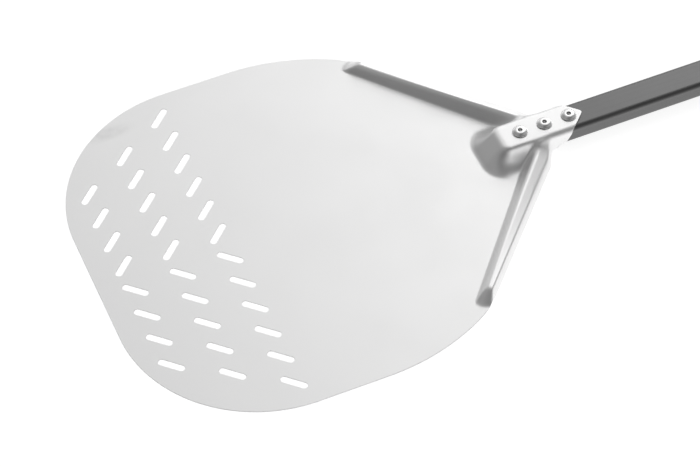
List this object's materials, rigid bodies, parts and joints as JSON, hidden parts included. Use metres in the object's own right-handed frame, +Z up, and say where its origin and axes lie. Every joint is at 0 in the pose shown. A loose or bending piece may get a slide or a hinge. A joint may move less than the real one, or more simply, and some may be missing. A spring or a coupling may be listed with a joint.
{
  "type": "pizza peel",
  "caption": "Short-handled pizza peel with a slotted, pressed aluminium blade, a flat-sided black tube handle riveted into a raised sleeve, and a cap with a hanging eye.",
  "frame": {"origin": "on the underside of the blade, under the centre of the largest round pizza it holds, 160 mm behind its front edge", "axes": "+X runs along the handle, away from the blade's front edge; +Z is up, away from what the blade rests on"},
  "size_m": [0.6999, 0.32, 0.0179],
  "materials": {
    "blade_aluminium": "satin anodised",
    "handle_black": "satin black anodised aluminium",
    "cap_plastic": "fine-textured black plastic",
    "bung_plastic": "plain black plastic",
    "rivet_aluminium": "bright, as turned",
    "mandrel_steel": "dull broken steel"
  },
  "bodies": {
    "root": {"blade": "blade_aluminium", "handle_tube": "handle_black", "front_bung": "bung_plastic", "rear_cap": "cap_plastic", "front_rivet": "rivet_aluminium", "middle_rivet": "rivet_aluminium", "back_rivet": "rivet_aluminium", "cap_rivet": "rivet_aluminium", "front_mandrel": "mandrel_steel", "middle_mandrel": "mandrel_steel", "back_mandrel": "mandrel_steel", "cap_mandrel": "mandrel_steel"}
  },
  "joints": []
}
